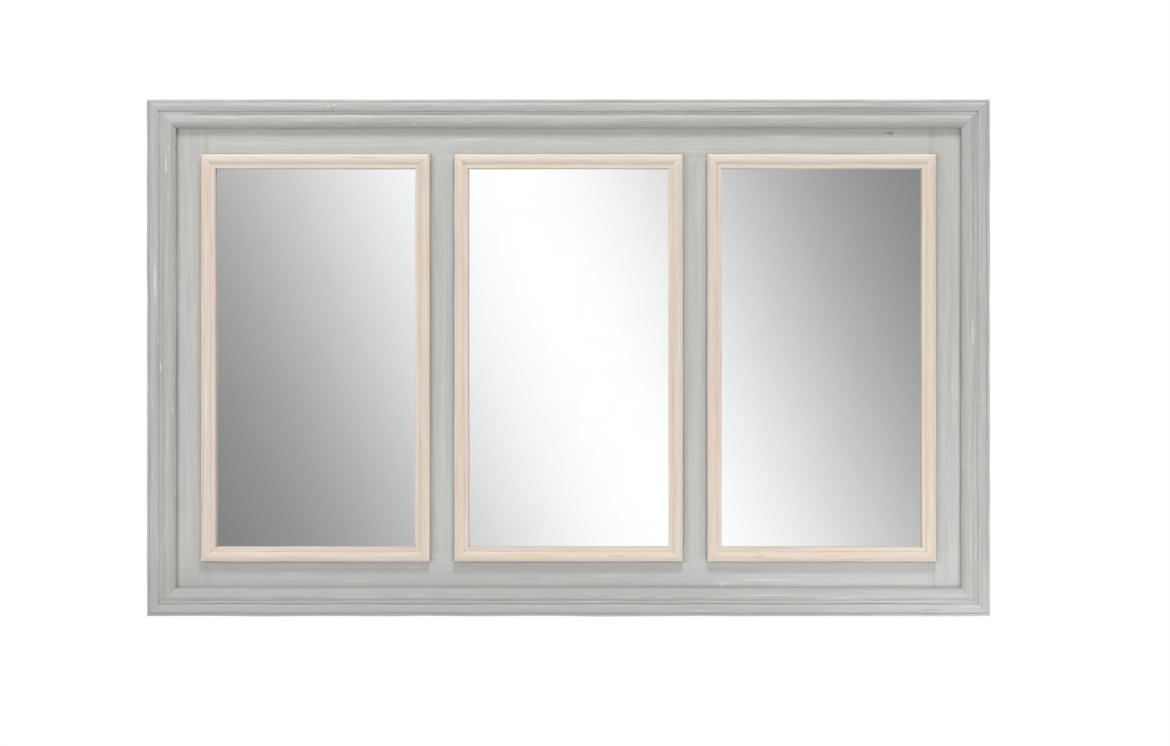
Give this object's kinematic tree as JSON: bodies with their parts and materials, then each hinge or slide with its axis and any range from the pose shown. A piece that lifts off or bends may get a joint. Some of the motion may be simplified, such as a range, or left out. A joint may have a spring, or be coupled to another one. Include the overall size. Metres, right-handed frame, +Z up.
{
  "type": "wooden wall mirror",
  "caption": "Landscape wall mirror with tall mirror panes side by side, each in a pale wooden bead, on a flat field inside a mitred grey-washed moulding, hung by rings at the back.",
  "frame": {"origin": "middle of the mirror on the wall plane that the back pads touch", "axes": "+X to the viewer's right, +Z up, +Y into the wall, so the mirrors face -Y"},
  "size_m": [1.3, 0.0394, 0.797],
  "materials": {
    "washed_grey_wood": "grey wash brushed over wood, matt",
    "limed_pale_wood": "limed pale wood, matt",
    "mirror_glass": "float glass silvered on the back",
    "hardboard": "pressed fibre board, smooth side out",
    "zinc_plated_steel": "bright zinc plate",
    "beech": "plain fluted dowel stock",
    "felt": "pressed felt"
  },
  "bodies": {
    "frame": {"outer_top_moulding": "washed_grey_wood", "outer_right_moulding": "washed_grey_wood", "outer_bottom_moulding": "washed_grey_wood", "outer_left_moulding": "washed_grey_wood", "field_left_stile": "washed_grey_wood", "field_right_stile": "washed_grey_wood", "field_top_rail": "washed_grey_wood", "field_bottom_rail": "washed_grey_wood", "field_left_muntin": "washed_grey_wood", "field_right_muntin": "washed_grey_wood", "left_pane_top_bead": "limed_pale_wood", "left_pane_right_bead": "limed_pale_wood", "left_pane_bottom_bead": "limed_pale_wood", "left_pane_left_bead": "limed_pale_wood", "centre_pane_top_bead": "limed_pale_wood", "centre_pane_right_bead": "limed_pale_wood", "centre_pane_bottom_bead": "limed_pale_wood", "centre_pane_left_bead": "limed_pale_wood", "right_pane_top_bead": "limed_pale_wood", "right_pane_right_bead": "limed_pale_wood", "right_pane_bottom_bead": "limed_pale_wood", "right_pane_left_bead": "limed_pale_wood", "left_mirror_glass": "mirror_glass", "left_backing_board": "hardboard", "centre_mirror_glass": "mirror_glass", "centre_backing_board": "hardboard", "right_mirror_glass": "mirror_glass", "right_backing_board": "hardboard", "left_hanger_strap": "zinc_plated_steel", "right_hanger_strap": "zinc_plated_steel", "glazing_points": "zinc_plated_steel", "field_dowels": "beech", "field_screws": "zinc_plated_steel", "corner_nails": "zinc_plated_steel", "hanger_screws": "zinc_plated_steel", "wall_pads": "felt"},
    "left_ring": {"left_hanger_ring": "zinc_plated_steel"},
    "right_ring": {"right_hanger_ring": "zinc_plated_steel"}
  },
  "joints": [
    {"name": "left_ring_swing", "type": "hinge", "parent": "frame", "child": "left_ring", "pos_m": [-0.6355, -0.00325, 0.23], "axis": [1, 0, 0], "range_deg": [0, 180]},
    {"name": "right_ring_swing", "type": "hinge", "parent": "frame", "child": "right_ring", "pos_m": [0.6355, -0.00325, 0.23], "axis": [1, 0, 0], "range_deg": [0, 180]}
  ]
}
